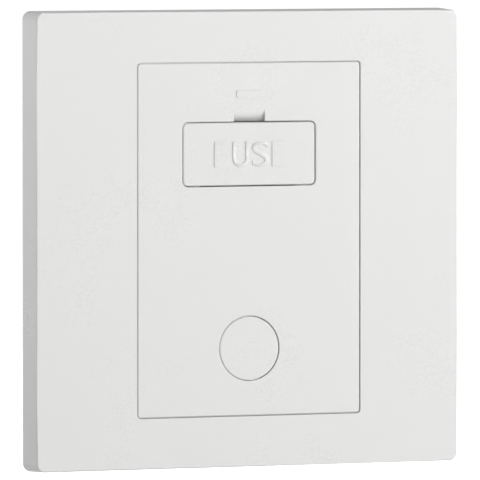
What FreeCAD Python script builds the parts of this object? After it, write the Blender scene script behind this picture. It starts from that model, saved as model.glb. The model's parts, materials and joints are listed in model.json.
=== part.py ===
import FreeCAD, Part
import math
import os
import re
import Sketcher

# A one-gang fused spur unit, in millimetres. The wall is the plane y = 0, the front faces -Y, and +Z is up.
# The origin is midway between the two fixing holes.

Vector = FreeCAD.Vector
doc = FreeCAD.newDocument("FusedSpurUnit")
sheet = doc.addObject("Spreadsheet::Sheet", "Sizes")
worked_out = doc.addObject("Spreadsheet::Sheet", "WorkedOut")

SIZES = [
    ("plate_size", 86, "width and height of the cover frame at the wall"),
    ("plate_depth", 6.65, "how far the front stands off the wall"),
    ("plate_draft", 0.25, "how far each side leans in towards the front"),
    ("plate_corner", 1.6, "radius of the frame's outline corners"),
    ("plate_edge", 0.3, "chamfer of the frame's front edge"),
    ("plate_wall", 2, "thickness of the frame's front"),
    ("plate_side", 1.8, "thickness of the frame's sides"),
    ("cavity_corner", 1.2, "inner corner radius of the frame"),
    ("frame_rib", 0.9, "thickness of the ribs inside the frame"),
    ("frame_rib_depth", 0.9, "how far those ribs stand back"),
    ("frame_rib_in", 12.95, "distance of the level ribs from the inner top and bottom"),
    ("frame_rib_apart", 14, "distance of the upright ribs from the middle"),
    ("leg_width", 6, "width of a snap leg of the frame"),
    ("leg_thick", 1.1, "thickness of a snap leg"),
    ("leg_in", 3.75, "distance of the legs' middles from the frame's inner sides"),
    ("leg_up", 20, "distance of the legs' middles from the middle, up"),
    ("leg_barb", 0.5, "how far a leg's barb stands out"),
    ("leg_short", 0.4, "how far a leg stops short of the wall"),
    ("leg_gap", 0.4, "clearance round a leg in its socket"),
    ("support_gap_side", 0.95, "gap between the support frame and the cover frame's sides"),
    ("support_gap_end", 2.95, "the same gap at the top and the bottom"),
    ("support_thick", 2.2, "thickness of the support frame"),
    ("support_corner", 3, "outline corner radius of the support frame"),
    ("support_rim", 1.0, "width of the rim round the support frame"),
    ("support_rim_rise", 1.1, "how far that rim stands forward"),
    ("fixing_centres", 60.3, "distance between the fixing holes"),
    ("fixing_radius", 2.1, "radius of a fixing hole"),
    ("fixing_sink", 0.8, "countersink of a fixing hole"),
    ("window_gap", 0.4, "clearance between the support frame and the rear housing"),
    ("panel_width", 44.9, "width of the centre panel"),
    ("panel_height", 66.05, "height of the centre panel"),
    ("panel_gap", 0.25, "gap between the centre panel and the cover frame"),
    ("panel_corner", 0.5, "corner radius of the centre panel"),
    ("panel_edge", 0.15, "rounding of the centre panel's front edge"),
    ("panel_wall", 2, "thickness of the centre panel's face"),
    ("flange_width", 2.15, "how far the panel's flange stands out past its face"),
    ("flange_thick", 2.25, "thickness of that flange"),
    ("flange_corner", 1.5, "corner radius of that flange"),
    ("hook_width", 7.6, "width of a hook that holds the panel to the support frame"),
    ("hook_thick", 1.0, "thickness of a hook"),
    ("hook_across", 14, "distance of the hooks from the middle, across"),
    ("hook_catch", 1.1, "how far a hook's barb catches"),
    ("hook_lip", 1.05, "thickness of the lip that a hook catches"),
    ("hook_gap", 0.1, "clearance between a hook and its lip"),
    ("carrier_width", 26.65, "width of the carrier's face"),
    ("carrier_height", 11.7, "height of the carrier's face"),
    ("carrier_face", 0.75, "thickness of the carrier's face at its corners"),
    ("carrier_up", 16, "height of the carrier and the fuse above the middle"),
    ("carrier_gap", 0.25, "gap round the carrier's face"),
    ("carrier_seat_gap", 0.05, "gap behind the carrier's face at its corner ledges"),
    ("carrier_corner", 0.9, "corner radius of the carrier's face"),
    ("carrier_edge", 0.2, "rounding of the face's front edge"),
    ("ledge_width", 3.85, "width of a corner ledge behind the carrier's face"),
    ("ledge_height", 1.3, "height of a corner ledge"),
    ("neck_depth", 2.7, "depth of the carrier's neck behind its face"),
    ("neck_gap", 0.2, "clearance round the neck in its opening"),
    ("pry_width", 5, "width of the pocket behind the face for a screwdriver"),
    ("pry_depth", 1.2, "depth of that pocket"),
    ("pry_height", 1.6, "height of that pocket"),
    ("notch_width", 6.3, "width of the ramped notch above the carrier"),
    ("notch_height", 2.1, "height of the notch"),
    ("notch_depth", 1.4, "depth of the notch at the carrier"),
    ("mark_width", 5.3, "width of the raised mark above the notch"),
    ("mark_height", 1.35, "height of the mark"),
    ("mark_up", 5.1, "height of the mark above the carrier's opening"),
    ("mark_rise", 0.15, "how far the mark stands forward"),
    ("mark_corner", 0.3, "corner radius of the mark"),
    ("outlet_down", 20.5, "how far the cord outlet is below the middle"),
    ("outlet_sink_radius", 6.15, "radius of the outlet's sunk rim"),
    ("outlet_sink", 1.3, "depth of the sunk rim"),
    ("outlet_radius", 5.35, "radius of the cord outlet"),
    ("plug_gap", 0.2, "gap round the plug's head"),
    ("plug_head", 1.2, "thickness of the plug's head"),
    ("plug_edge", 0.2, "rounding of the plug's head"),
    ("plug_wall", 0.9, "thickness of the plug's skirt"),
    ("plug_clear", 0.35, "clearance of the skirt in the outlet"),
    ("plug_skirt", 4.2, "length of the skirt"),
    ("plug_slit", 1.4, "width of the slits in the skirt"),
    ("housing_inset_side", 0.85, "how far the rear housing is inside the panel's face, each side"),
    ("housing_inset_end", 2.45, "how far it is inside at the top and the bottom"),
    ("housing_wall", 1.6, "wall of the rear housing"),
    ("housing_corner", 2, "corner radius of the rear housing"),
    ("floor_back", 9.5, "how far the housing's floor lies behind the wall plane"),
    ("floor_thick", 1.5, "thickness of that floor"),
    ("shroud", 2.6, "how far the housing reaches past the terminal blocks"),
    ("barrier", 1.2, "thickness of the barriers and cell walls"),
    ("barrier_half", 6.8, "half the height of the fuse chamber"),
    ("seat_gap", 0.1, "gap between the housing's barriers and the panel"),
    ("guide_near", 2.5, "where the carrier's guide ribs start, across"),
    ("guide_far", 4.5, "where those ribs end, across"),
    ("guide_gap", 0.15, "clearance between the guide ribs and the carrier"),
    ("passage_half_width", 6.6, "half the width of the cord passage"),
    ("passage_half_height", 6.9, "half the height of the cord passage"),
    ("cord_notch_half", 5.4, "half the width of the notch where a cord leaves the passage"),
    ("cord_notch_back", 12.5, "how far behind the wall that notch starts"),
    ("fuse_standoff", 6.5, "distance from the floor to the fuse's axis"),
    ("fuse_length", 25.4, "length of the fuse"),
    ("cap_radius", 3.175, "radius of the fuse's caps"),
    ("cap_length", 5.5, "length of a cap"),
    ("cap_wall", 0.3, "thickness of a cap"),
    ("barrel_gap", 0.02, "clearance between the barrel and a cap"),
    ("barrel_bore", 2.0, "radius of the barrel's bore"),
    ("element_radius", 0.25, "radius of the fuse's wire"),
    ("grip_gap", 0.08, "clearance of the barrel in the carrier"),
    ("grip_gap_end", 0.2, "clearance between the carrier's cheeks and the caps"),
    ("cheek", 1.4, "thickness of the carrier's cheeks"),
    ("cheek_past", 3.3, "how far the cheeks reach past the fuse's axis"),
    ("mouth_half", 2.35, "half the opening between the cheeks' lips"),
    ("clip_strip", 0.6, "thickness of the contact strip"),
    ("clip_width", 4, "width of a fuse clip"),
    ("clip_in", 0.7, "how far a clip starts outside the cap's inner end"),
    ("clip_gap", 0.1, "clearance between a clip and a cap"),
    ("clip_reach", 3.4, "how far a clip's legs reach forward past the fuse's axis"),
    ("clip_flare", 0.8, "how far the tips of a clip flare out"),
    ("clip_flare_length", 0.7, "length of the flare"),
    ("clip_bend", 0.9, "outer bend radius of a clip"),
    ("tail_width", 4.6, "width of a clip's tail"),
    ("terminal_width", 9, "width of a terminal block"),
    ("terminal_height", 9.6, "height of a terminal block"),
    ("terminal_depth", 8, "depth of a terminal block"),
    ("terminal_chamfer", 0.4, "chamfer of a block's edges"),
    ("terminal_play", 0.3, "clearance of a block in its cell"),
    ("terminal_lead", 2.7, "space between the upper blocks and the top wall"),
    ("row_pitch", 18, "distance between the two rows of terminals"),
    ("wire_half", 2.1, "half the width and height of a wire tunnel"),
    ("wire_back", 3.4, "distance from the floor to the wire tunnels' axes"),
    ("wire_notch_half", 2.6, "half the width of a wire entry in the housing"),
    ("earth_width", 15.6, "width of the earth block"),
    ("earth_spacing", 7.6, "distance between the earth block's wire tunnels"),
    ("stem_half", 1.3, "half the width of the square stem on a live block"),
    ("stem_down", 3.0, "how far the stem is below the block's middle"),
    ("stem_head_half", 1.9, "half the width of the stem's staked head"),
    ("stem_head", 0.6, "thickness of the staked head"),
    ("stem_gap", 0.1, "clearance round the stem"),
    ("link_height", 5.2, "height of the neutral link"),
    ("link_thick", 0.8, "thickness of the neutral link"),
    ("link_gap", 0.15, "clearance round the link in its recess"),
    ("screw_gap", 0.05, "clearance between a screw and its thread"),
    ("terminal_screw_radius", 1.75, "radius of a terminal screw"),
    ("terminal_screw_tip", 0.2, "how far the screw's tip stands off the wire tunnel"),
    ("terminal_head_radius", 2.6, "radius of a terminal screw's head"),
    ("terminal_head", 1.6, "height of that head"),
    ("terminal_head_gap", 0.4, "gap under that head"),
    ("slot_width", 0.9, "width of a screwdriver slot"),
    ("slot_depth", 0.8, "depth of a screwdriver slot"),
    ("clamp_down", 8, "how far the cord clamp is below the middle"),
    ("clamp_length", 28, "length of the clamp bar"),
    ("clamp_screw_in", 3.5, "distance of the clamp's screws from the bar's ends"),
    ("clamp_height", 6.4, "height of the clamp bar"),
    ("clamp_thick", 3, "thickness of the clamp bar"),
    ("clamp_space", 5.2, "space for a cord under the clamp bar"),
    ("clamp_arch", 5.2, "half the width of the arch under the bar"),
    ("clamp_arch_rise", 1.2, "height of that arch"),
    ("clamp_boss", 2.9, "half the width of the clamp's bosses"),
    ("clamp_corner", 1.2, "corner radius of the clamp bar"),
    ("clamp_screw_radius", 1.45, "radius of a clamp screw"),
    ("clamp_screw_bite", 4, "how far a clamp screw goes into its boss"),
    ("clamp_head_radius", 2.6, "radius of a clamp screw's head"),
    ("clamp_head", 1.5, "height of that head"),
    ("side_entry_half", 4, "half the height of the cable entries in the housing's sides"),
    ("side_entry_back", 12.5, "how far behind the wall those entries start"),
    ("post_half", 2.4, "half the width of the panel's screw posts"),
    ("post_gap", 0.05, "gap between those posts and the housing's floor"),
    ("upper_screw_in", 2.7, "distance of the upper housing screws from the inner sides"),
    ("upper_screw_below", 3.5, "how far the upper housing screws are below the fuse"),
    ("lower_screw_in", 3.2, "distance of the lower housing screws from the inner sides"),
    ("lower_screw_end", 3.2, "distance of the lower housing screws from the inner end"),
    ("housing_screw_radius", 1.2, "radius of a housing screw"),
    ("housing_screw_bite", 5.2, "how far a housing screw goes into its post"),
    ("housing_head_radius", 2.3, "radius of a housing screw's head"),
    ("housing_head", 1.5, "height of that head"),
]
ALIASES = {alias for alias, _, _ in SIZES}

# Places that several pieces share, as expressions of the sizes. Negative y is in front of the wall.
FRONT = "(-plate_depth)"
CAVITY = "(plate_size / 2 - plate_draft - plate_side)"
LEG_ACROSS = f"({CAVITY} - leg_in)"
SUPPORT_ACROSS = f"({CAVITY} - support_gap_side)"
SUPPORT_UP = f"({CAVITY} - support_gap_end)"
FRAME_BACK = "(-plate_depth + plate_wall)"
PANEL_BACK = "(-plate_depth + panel_wall)"
SUPPORT_FRONT = "(-support_thick)"
OPENING_TOP = "(carrier_up + carrier_height / 2 + carrier_gap)"
OPENING_BOTTOM = "(carrier_up - carrier_height / 2 - carrier_gap)"
CARRIER_BACK = "(-plate_depth + carrier_face)"
NECK_BACK = "(-plate_depth + carrier_face + neck_depth)"
LEDGE_FRONT = "(-plate_depth + carrier_face + carrier_seat_gap)"
FLOOR = "floor_back"
FLOOR_BACK = "(floor_back + floor_thick)"
HOUSING_BACK = "(floor_back + floor_thick + terminal_depth + shroud)"
HOUSING_ACROSS = "(panel_width / 2 - housing_inset_side)"
HOUSING_UP = "(panel_height / 2 - housing_inset_end)"
INNER_ACROSS = "(panel_width / 2 - housing_inset_side - housing_wall)"
INNER_UP = "(panel_height / 2 - housing_inset_end - housing_wall)"
FUSE_BACK = "(floor_back - fuse_standoff)"
LIVE_ACROSS = f"({INNER_ACROSS} - terminal_play - terminal_width / 2)"
UPPER_ROW = f"({INNER_UP} - terminal_lead - terminal_height / 2)"
LOWER_ROW = f"({UPPER_ROW} - row_pitch)"
STEM_UP = f"({UPPER_ROW} - stem_down)"
HOOK_IN = f"({HOUSING_UP} + window_gap + hook_thick / 2)"
BOSS_BACK = f"({FLOOR_BACK} + clamp_space)"
POST_BACK = "(floor_back - post_gap)"
BARREL = "(cap_radius - cap_wall - barrel_gap)"
CHEEK_IN = f"({BARREL} + grip_gap)"
CHEEK_OUT = f"({BARREL} + grip_gap + cheek)"
CHEEK_LONG = "(fuse_length / 2 - cap_length - grip_gap_end)"
SIDES = (-1, 1)
CORNERS = [(side, end) for side in SIDES for end in SIDES]


def fill_sheet():
    for row, (alias, number, note) in enumerate(SIZES, start=1):
        sheet.set(f"A{row}", note)
        sheet.set(f"B{row}", str(number))
        sheet.setAlias(f"B{row}", alias)
    doc.recompute()


def bound(text):
    """The expression with each size's alias pointed at the sheet."""
    return re.sub(r"[a-z_]+", lambda word: "Sizes." * (word.group() in ALIASES) + word.group(), str(text))


def new_body(name):
    body = doc.addObject("PartDesign::Body", name)
    body.Label = name
    return body


def new_sketch(body, plane, offset):
    """A sketch on one of the body's own planes, moved along the plane's normal by the offset."""
    drawing = body.newObject("Sketcher::SketchObject", f"{body.Name}_outline")
    origin = next(face for face in body.Origin.OriginFeatures if face.Role == plane)
    drawing.AttachmentSupport = [(origin, "")]
    drawing.MapMode = "FlatFace"
    drawing.setExpression(".AttachmentOffset.Base.z", bound(offset))
    return drawing


def hold(drawing, kind, text, *where):
    """One dimension of a sketch, bound to an expression. The last item of where is its starting value."""
    number = drawing.addConstraint(Sketcher.Constraint(kind, *where))
    drawing.setExpression(f"Constraints[{number}]", bound(text))


def polygon(drawing, corners):
    """A closed outline of straight lines. Each corner is a pair of expressions."""
    count = len(corners)
    first = drawing.GeometryCount
    turns = [2 * math.pi * n / count + 0.3 for n in range(count)]
    ring = [Vector(math.cos(turn), math.sin(turn), 0) for turn in turns]
    for n in range(count):
        drawing.addGeometry(Part.LineSegment(ring[n], ring[(n + 1) % count]))
    for n in range(count):
        drawing.addConstraint(Sketcher.Constraint("Coincident", first + n, 2, first + (n + 1) % count, 1))
    for n, (across, along) in enumerate(corners):
        hold(drawing, "DistanceX", across, -1, 1, first + n, 1, ring[n].x)
        hold(drawing, "DistanceY", along, -1, 1, first + n, 1, ring[n].y)


def rectangle(drawing, left, right, bottom, top):
    polygon(drawing, [(left, bottom), (right, bottom), (right, top), (left, top)])


def centred(drawing, half_width, half_height, across="0", up="0"):
    left, right = f"{across} - ({half_width})", f"{across} + ({half_width})"
    rectangle(drawing, left, right, f"{up} - ({half_height})", f"{up} + ({half_height})")


def circle(drawing, across, along, radius):
    number = drawing.addGeometry(Part.Circle(Vector(1, 1, 0), Vector(0, 0, 1), 1))
    hold(drawing, "DistanceX", across, -1, 1, number, 3, 1)
    hold(drawing, "DistanceY", along, -1, 1, number, 3, 1)
    hold(drawing, "Radius", radius, number, 1)


def circles(places, radius):
    """A drawing of one circle at each place."""
    return lambda drawing: [circle(drawing, across, up, radius) for across, up in places]


def squares(places, half):
    return lambda drawing: [centred(drawing, half, half, across, up) for across, up in places]


def rectangles(boxes):
    """A drawing of one rectangle for each (left, right, bottom, top)."""
    return lambda drawing: [rectangle(drawing, *box) for box in boxes]


def make_feature(kind, body, drawing, length, midplane=False):
    feature = body.newObject(f"PartDesign::{kind}", f"{body.Name}_{kind.lower()}")
    feature.Profile = drawing
    if midplane:
        feature.SideType = "Symmetric"
    feature.setExpression("Length", bound(length))
    body.Tip = feature
    return feature


def added(body, front, back, draw):
    """Material from y = front to y = back, with the outline that draw makes as seen from the front."""
    drawing = new_sketch(body, "XZ_Plane", f"-({back})")
    draw(drawing)
    return make_feature("Pad", body, drawing, f"{back} - ({front})")


def cut(body, front, back, draw):
    """The same, taken away."""
    drawing = new_sketch(body, "XZ_Plane", f"-({front})")
    draw(drawing)
    return make_feature("Pocket", body, drawing, f"{back} - ({front})")


def added_across(body, start, width, *outlines):
    """Material from x = start, over the width, with side outlines of (y, z) corners."""
    drawing = new_sketch(body, "YZ_Plane", start)
    for corners in outlines:
        polygon(drawing, corners)
    return make_feature("Pad", body, drawing, width)


def cut_across(body, width, draw):
    """A cut of the given width about x = 0, with an outline drawn in (y, z)."""
    drawing = new_sketch(body, "YZ_Plane", "0")
    draw(drawing)
    return make_feature("Pocket", body, drawing, width, midplane=True)


def edges_of(feature, chosen):
    doc.recompute()
    return [f"Edge{n}" for n, edge in enumerate(feature.Shape.Edges, start=1) if chosen(edge)]


def dressed(kind, body, size, chosen):
    """A Fillet or Chamfer on the edges of the body's last feature that chosen picks."""
    last = body.Tip
    names = edges_of(last, chosen)
    feature = body.newObject(f"PartDesign::{kind}", f"{body.Name}_{kind.lower()}")
    feature.Base = (last, names)
    feature.setExpression("Radius" if kind == "Fillet" else "Size", bound(size))
    body.Tip = feature
    return feature


def size(text):
    """The present value of an expression of the sizes, worked out on a sheet that nothing else uses."""
    worked_out.set("A1", "=" + bound(text))
    worked_out.recompute()
    return float(worked_out.get("A1"))


def ends(edge):
    box = edge.BoundBox
    return box.XMin, box.XMax, box.YMin, box.YMax, box.ZMin, box.ZMax


def near(first, second):
    return abs(first - second) < 0.01


def runs_along(edge, axis):
    """Whether an edge is a straight line along the axis, 0 for x, 1 for y or 2 for z."""
    box = ends(edge)
    spans = [box[2 * n + 1] - box[2 * n] for n in range(3)]
    return spans[axis] > 0.01 and all(spans[n] < 0.01 for n in range(3) if n != axis)


def corner_line(across, up, middle=0):
    """Picks lines along y that lie at the corners of a rectangle about x = 0 and z = middle."""
    x, z, centre = size(across), size(up), size(middle)

    def chosen(edge):
        box = ends(edge)
        on_corner = near(abs(box[0]), x) and near(abs(box[4] - centre), z)
        return on_corner and runs_along(edge, 1)

    return chosen


def in_plane(back, half_width, half_height, middle=0):
    """Picks the edges in the plane y = back that lie wholly within a rectangle about x = 0, z = middle."""
    y, x, z, centre = size(back), size(half_width) + 0.01, size(half_height) + 0.01, size(middle)

    def chosen(edge):
        box = ends(edge)
        flat = near(box[2], y) and near(box[3], y)
        across = -x <= box[0] and box[1] <= x
        return flat and across and centre - z <= box[4] and box[5] <= centre + z

    return chosen


# The clip-on cover frame
def build_cover_frame():
    body = new_body("cover_frame")
    outer, inner = "plate_size / 2", "(plate_size / 2 - plate_draft)"
    opening = ("panel_width / 2 + panel_gap", "panel_height / 2 + panel_gap")
    back = new_sketch(body, "XZ_Plane", "0")
    centred(back, outer, outer)
    front = new_sketch(body, "XZ_Plane", "plate_depth")
    centred(front, inner, inner)
    loft = body.newObject("PartDesign::AdditiveLoft", "cover_frame_loft")
    loft.Profile = back
    loft.Sections = [front]
    loft.Ruled = True
    body.Tip = loft
    dressed("Fillet", body, "plate_corner", lambda edge: edge.BoundBox.YLength > size("plate_depth") - 0.01)
    dressed("Chamfer", body, "plate_edge", in_plane(FRONT, inner, inner))
    cut(body, FRAME_BACK, "0", lambda drawing: centred(drawing, CAVITY, CAVITY))
    dressed("Fillet", body, "cavity_corner", corner_line(CAVITY, CAVITY))
    cut(body, FRONT, FRAME_BACK, lambda drawing: centred(drawing, *opening))
    dressed("Fillet", body, "panel_corner + panel_gap", corner_line(*opening))
    build_frame_ribs(body)
    for end in SIDES:
        build_frame_legs(body, end)


def build_frame_ribs(body):
    """Eight ribs that stiffen the frame between its opening and its sides."""
    flange_side = "(panel_width / 2 + flange_width + frame_rib)"
    flange_end = "(panel_height / 2 + flange_width + frame_rib)"
    boxes = []
    for side, end in CORNERS:
        place = f"{end} * ({CAVITY} - frame_rib_in)"
        boxes.append((f"{side} * {flange_side}", f"{side} * {CAVITY}", place, f"{place} + frame_rib"))
        shift = f"{side} * frame_rib_apart"
        boxes.append((shift, f"{shift} + frame_rib", f"{end} * {flange_end}", f"{end} * {CAVITY}"))
    added(body, FRAME_BACK, f"{FRAME_BACK} + frame_rib_depth", rectangles(boxes))


def build_frame_legs(body, end):
    """Two snap legs at one height, with their barbs outwards."""
    drawing = new_sketch(body, "XY_Plane", f"{end} * leg_up - leg_width / 2")
    for side in SIDES:
        inside = f"{side} * ({LEG_ACROSS} - leg_thick / 2)"
        outside = f"{side} * ({LEG_ACROSS} + leg_thick / 2)"
        barb = f"{side} * ({LEG_ACROSS} + leg_thick / 2 + leg_barb)"
        polygon(
            drawing,
            [
                (inside, FRAME_BACK),
                (outside, FRAME_BACK),
                (outside, "-(leg_short + 2 * leg_barb)"),
                (barb, "-(leg_short + leg_barb)"),
                (outside, "-leg_short"),
                (inside, "-leg_short"),
            ],
        )
    make_feature("Pad", body, drawing, "leg_width")


# The frame that is screwed to the wall
def build_support_frame():
    body = new_body("support_frame")
    half_width, half_height = SUPPORT_ACROSS, SUPPORT_UP
    window = (f"{HOUSING_ACROSS} + window_gap", f"{HOUSING_UP} + window_gap")
    added(body, SUPPORT_FRONT, "0", lambda drawing: centred(drawing, half_width, half_height))

    def rim(drawing):
        centred(drawing, half_width, half_height)
        centred(drawing, f"{half_width} - support_rim", f"{half_height} - support_rim")

    added(body, f"{SUPPORT_FRONT} - support_rim_rise", SUPPORT_FRONT, rim)
    dressed("Fillet", body, "support_corner", corner_line(half_width, half_height))
    cut(body, SUPPORT_FRONT, "0", lambda drawing: centred(drawing, *window))
    fixings = [(f"{side} * fixing_centres / 2", "0") for side in SIDES]
    cut(body, SUPPORT_FRONT, "0", circles(fixings, "fixing_radius"))
    mouth, reach = size(SUPPORT_FRONT), size("fixing_radius")

    def is_mouth(edge):
        box = edge.BoundBox
        return near(box.YMin, mouth) and near(box.YMax, mouth) and near(box.ZMax, reach)

    dressed("Chamfer", body, "fixing_sink", is_mouth)
    cut(body, SUPPORT_FRONT, "0", rectangles([leg_socket(side, end) for side, end in CORNERS]))
    build_hook_slots(body)


def leg_socket(side, end):
    near_side = f"{side} * ({LEG_ACROSS} - leg_thick / 2 - leg_gap)"
    far_side = f"{side} * ({LEG_ACROSS} + leg_thick / 2 + leg_barb + leg_gap)"
    half = "(leg_width / 2 + leg_gap)"
    return near_side, far_side, f"{end} * leg_up - {half}", f"{end} * leg_up + {half}"


def build_hook_slots(body):
    """Notches in the window's edge, each with a thinned lip beside it that a hook of the panel catches."""
    notches, lips = [], []
    for side, end in CORNERS:
        left = f"{side} * hook_across - hook_width / 2 - window_gap"
        right = f"{side} * hook_across + hook_width / 2 + window_gap"
        edge = f"{end} * ({HOUSING_UP} + window_gap)"
        notches.append((left, right, edge, f"{end} * ({HOOK_IN} + hook_thick + window_gap)"))
        lips.append((left, right, edge, f"{end} * ({HOOK_IN} + hook_thick + window_gap + hook_catch)"))
    cut(body, SUPPORT_FRONT, "0", rectangles(notches))
    cut(body, f"{SUPPORT_FRONT} + hook_lip", "0", rectangles(lips))


# The centre panel
def build_front_panel():
    body = new_body("front_panel")
    half_width, half_height = "panel_width / 2", "panel_height / 2"
    flange = (f"{half_width} + flange_width", f"{half_height} + flange_width")
    added(body, FRONT, SUPPORT_FRONT, lambda drawing: centred(drawing, half_width, half_height))
    dressed("Fillet", body, "panel_corner", corner_line(half_width, half_height))
    dressed("Chamfer", body, "panel_edge", in_plane(FRONT, half_width, half_height))
    flange_front = f"{SUPPORT_FRONT} - flange_thick"
    added(body, flange_front, SUPPORT_FRONT, lambda drawing: centred(drawing, *flange))
    dressed("Fillet", body, "flange_corner", corner_line(*flange))
    cut(body, PANEL_BACK, SUPPORT_FRONT, lambda drawing: centred(drawing, INNER_ACROSS, INNER_UP))
    build_carrier_opening(body)
    build_notch_and_mark(body)
    build_outlet(body)
    build_screw_posts(body)
    for side in SIDES:
        build_hooks(body, side)


def build_carrier_opening(body):
    """A recess for the carrier's face, and a cross-shaped way through that leaves four corner ledges."""
    half_width = "(carrier_width / 2 + carrier_gap)"
    half_height = "(carrier_height / 2 + carrier_gap)"

    def recess(drawing):
        centred(drawing, half_width, half_height, up="carrier_up")

    def wide_way(drawing):
        centred(drawing, half_width, f"{half_height} - ledge_height", up="carrier_up")

    def tall_way(drawing):
        centred(drawing, f"{half_width} - ledge_width", half_height, up="carrier_up")

    cut(body, FRONT, LEDGE_FRONT, recess)
    dressed("Fillet", body, "carrier_corner + carrier_gap", corner_line(half_width, half_height, "carrier_up"))
    cut(body, LEDGE_FRONT, PANEL_BACK, wide_way)
    cut(body, LEDGE_FRONT, PANEL_BACK, tall_way)


def build_notch_and_mark(body):
    def ramp(drawing):
        polygon(
            drawing,
            [
                (FRONT, OPENING_TOP),
                (f"{FRONT} + notch_depth", OPENING_TOP),
                (FRONT, f"{OPENING_TOP} + notch_height"),
            ],
        )

    cut_across(body, "notch_width", ramp)
    middle = f"({OPENING_TOP} + mark_up)"

    def mark(drawing):
        centred(drawing, "mark_width / 2", "mark_height / 2", up=middle)

    added(body, f"{FRONT} - mark_rise", FRONT, mark)
    dressed("Fillet", body, "mark_corner", corner_line("mark_width / 2", "mark_height / 2", middle))
    face = in_plane(f"{FRONT} - mark_rise", "mark_width / 2", "mark_height / 2", middle)
    dressed("Chamfer", body, "mark_rise / 2", face)


def build_outlet(body):
    place = [("0", "-outlet_down")]
    sunk = f"{FRONT} + outlet_sink"
    cut(body, FRONT, sunk, circles(place, "outlet_sink_radius"))
    cut(body, sunk, PANEL_BACK, circles(place, "outlet_radius"))


def housing_screw_places():
    high, low = "carrier_up - upper_screw_below", f"lower_screw_end - {INNER_UP}"
    upper = [(f"{side} * ({INNER_ACROSS} - upper_screw_in)", high) for side in SIDES]
    lower = [(f"{side} * ({INNER_ACROSS} - lower_screw_in)", low) for side in SIDES]
    return upper + lower


def build_screw_posts(body):
    """Posts that reach back to the housing's floor, bored for the screws that hold it."""
    start = f"{POST_BACK} - housing_screw_bite - screw_gap"
    added(body, PANEL_BACK, POST_BACK, squares(housing_screw_places(), "post_half"))
    cut(body, start, POST_BACK, circles(housing_screw_places(), "housing_screw_radius + screw_gap"))


def build_hooks(body, side):
    """An upper and a lower hook, which pass through the window's edge and catch behind its lip."""
    outlines = []
    catch = f"{SUPPORT_FRONT} + hook_lip + hook_gap"
    root = f"{SUPPORT_FRONT} - flange_thick / 2"
    for end in SIDES:
        inside = f"{end} * {HOOK_IN}"
        outside = f"{end} * ({HOOK_IN} + hook_thick)"
        barb = f"{end} * ({HOOK_IN} + hook_thick + window_gap + hook_catch - hook_gap)"
        outlines.append(
            [
                (root, inside),
                ("-hook_gap", inside),
                ("-hook_gap", outside),
                (f"{catch} + hook_gap", barb),
                (catch, barb),
                (catch, outside),
                (root, outside),
            ]
        )
    added_across(body, f"{side} * hook_across - hook_width / 2", "hook_width", *outlines)


# The plug that closes the cord outlet
def build_outlet_plug():
    body = new_body("outlet_plug")
    centre = "-outlet_down"
    skirt = "(outlet_radius - plug_clear)"
    head_back = f"{FRONT} + plug_head"
    skirt_back = f"{head_back} + plug_skirt"
    added(body, FRONT, head_back, lambda drawing: circle(drawing, "0", centre, "outlet_sink_radius - plug_gap"))
    rim = size("outlet_sink_radius - plug_gap")
    dressed("Chamfer", body, "plug_edge", in_plane(FRONT, rim, rim, centre))

    def ring(drawing):
        circle(drawing, "0", centre, skirt)
        circle(drawing, "0", centre, f"{skirt} - plug_wall")

    added(body, head_back, skirt_back, ring)
    for half in (("plug_slit / 2", "outlet_radius"), ("outlet_radius", "plug_slit / 2")):
        slit = (lambda sizes: lambda drawing: centred(drawing, *sizes, up=centre))(half)
        cut(body, f"{head_back} + plug_wall", skirt_back, slit)


# The moulded housing behind the panel
def build_rear_housing():
    body = new_body("rear_housing")
    corner = corner_line(HOUSING_ACROSS, HOUSING_UP)
    added(body, SUPPORT_FRONT, HOUSING_BACK, lambda drawing: centred(drawing, HOUSING_ACROSS, HOUSING_UP))
    dressed("Fillet", body, "housing_corner", corner)
    cut(body, SUPPORT_FRONT, FLOOR, lambda drawing: centred(drawing, INNER_ACROSS, INNER_UP))
    cut(body, FLOOR_BACK, HOUSING_BACK, lambda drawing: centred(drawing, INNER_ACROSS, INNER_UP))
    build_fuse_chamber(body)
    build_cells(body)
    build_cord_passage(body)
    build_clamp_bosses(body)
    build_wire_entries(body)


def build_fuse_chamber(body):
    """Two barriers above and below the fuse, with guide ribs for the carrier."""
    walls, ribs = [], []
    for end in SIDES:
        inside = f"carrier_up + {end} * barrier_half"
        outside = f"carrier_up + {end} * (barrier_half + barrier)"
        walls.append((f"-{INNER_ACROSS}", INNER_ACROSS, inside, outside))
        ridge = f"carrier_up + {end} * ({CHEEK_OUT} + guide_gap)"
        for side in SIDES:
            ribs.append((f"{side} * guide_near", f"{side} * guide_far", ridge, inside))
    added(body, f"{PANEL_BACK} + seat_gap", FLOOR, rectangles(walls))
    added(body, f"{NECK_BACK} + neck_gap", FLOOR, rectangles(ribs))


def terminal_places():
    """Each terminal's name, its width, its middle and its wire tunnels' places."""
    pair = ["-earth_spacing / 2", "earth_spacing / 2"]
    return [
        ("live_supply_terminal", "terminal_width", f"-{LIVE_ACROSS}", UPPER_ROW, ["0"]),
        ("live_load_terminal", "terminal_width", LIVE_ACROSS, UPPER_ROW, ["0"]),
        ("neutral_supply_terminal", "terminal_width", f"-{LIVE_ACROSS}", LOWER_ROW, ["0"]),
        ("neutral_load_terminal", "terminal_width", LIVE_ACROSS, LOWER_ROW, ["0"]),
        ("earth_terminal", "earth_width", "0", UPPER_ROW, pair),
    ]


def cell_box(width, across, up, margin):
    """The sides of a cell round a terminal block, moved outwards by the margin."""
    half_width = f"({width} / 2 + terminal_play + {margin})"
    half_height = f"(terminal_height / 2 + terminal_play + {margin})"
    return f"{across} - {half_width}", f"{across} + {half_width}", f"{up} - {half_height}", f"{up} + {half_height}"


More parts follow.
